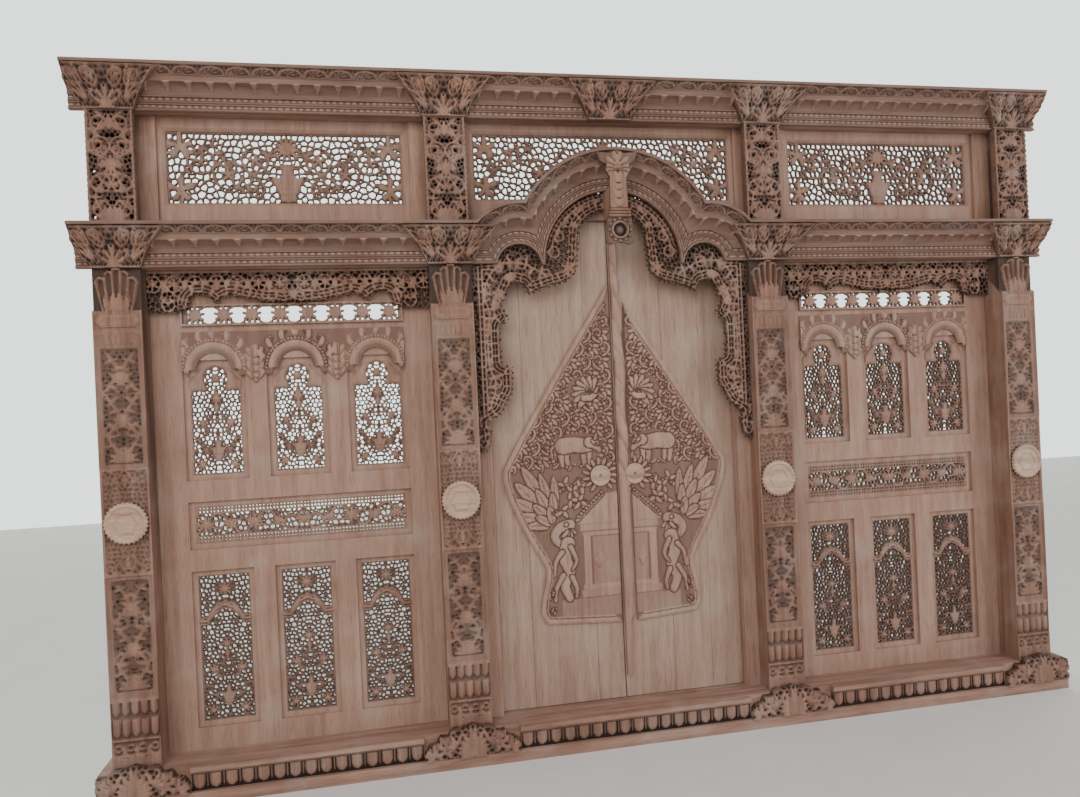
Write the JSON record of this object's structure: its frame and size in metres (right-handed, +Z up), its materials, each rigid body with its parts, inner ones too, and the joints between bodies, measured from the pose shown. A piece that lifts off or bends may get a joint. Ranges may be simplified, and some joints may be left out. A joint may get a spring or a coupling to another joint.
{
  "type": "carved wooden partition with double door",
  "caption": "Carved and pierced hardwood partition with posts, moulded cornices that arch over a plank double door, grilled side bays and a sill; both leaves swing inward.",
  "frame": {"origin": "middle of the sill's underside, at the middle of the posts' depth", "axes": "+X along the front to the right, +Y into the depth, +Z up; the carved front faces -Y"},
  "size_m": [4.214, 0.29, 2.8],
  "materials": {
    "teak_beams": "unfinished",
    "teak_carving": "unfinished",
    "teak_planks": "unfinished"
  },
  "bodies": {
    "frame": {"sill_beam": "teak_beams", "sill_band_left": "teak_carving", "sill_band_centre": "teak_carving", "sill_band_right": "teak_carving", "foot_1": "teak_carving", "post_1": "teak_carving", "medallion_1": "teak_carving", "lower_corbel_1": "teak_carving", "upper_post_1": "teak_carving", "foot_2": "teak_carving", "post_2": "teak_carving", "medallion_2": "teak_carving", "lower_corbel_2": "teak_carving", "upper_post_2": "teak_carving", "foot_3": "teak_carving", "post_3": "teak_carving", "medallion_3": "teak_carving", "lower_corbel_3": "teak_carving", "upper_post_3": "teak_carving", "foot_4": "teak_carving", "post_4": "teak_carving", "medallion_4": "teak_carving", "lower_corbel_4": "teak_carving", "upper_post_4": "teak_carving", "upper_corbel_1": "teak_carving", "upper_corbel_2": "teak_carving", "upper_corbel_3": "teak_carving", "upper_corbel_4": "teak_carving", "upper_corbel_5": "teak_carving", "top_beam": "teak_beams", "top_cornice": "teak_carving", "arch_cornice": "teak_carving", "arch_keystone": "teak_carving", "door_frame": "teak_beams", "transom_centre": "teak_carving", "lower_beam_left": "teak_beams", "lower_cornice_left": "teak_carving", "transom_left": "teak_carving", "side_valance_left": "teak_carving", "door_valance_left": "teak_carving", "bay_frame_left": "teak_beams", "bay_grilles_left": "teak_carving", "bay_friezes_left": "teak_carving", "lower_beam_right": "teak_beams", "lower_cornice_right": "teak_carving", "transom_right": "teak_carving", "side_valance_right": "teak_carving", "door_valance_right": "teak_carving", "bay_frame_right": "teak_beams", "bay_grilles_right": "teak_carving", "bay_friezes_right": "teak_carving"},
    "door_left": {"door_leaf_left": "teak_planks", "door_relief_left": "teak_carving", "door_disc_left": "teak_carving"},
    "door_right": {"door_leaf_right": "teak_planks", "door_relief_right": "teak_carving", "door_disc_right": "teak_carving", "door_trunk": "teak_carving"}
  },
  "joints": [
    {"name": "left_leaf", "type": "hinge", "parent": "frame", "child": "door_left", "pos_m": [-0.543, 0.054, 0], "axis": [0, 0, 1], "range_deg": [0, 95]},
    {"name": "right_leaf", "type": "hinge", "parent": "frame", "child": "door_right", "pos_m": [0.543, 0.054, 0], "axis": [0, 0, -1], "range_deg": [0, 95]}
  ]
}
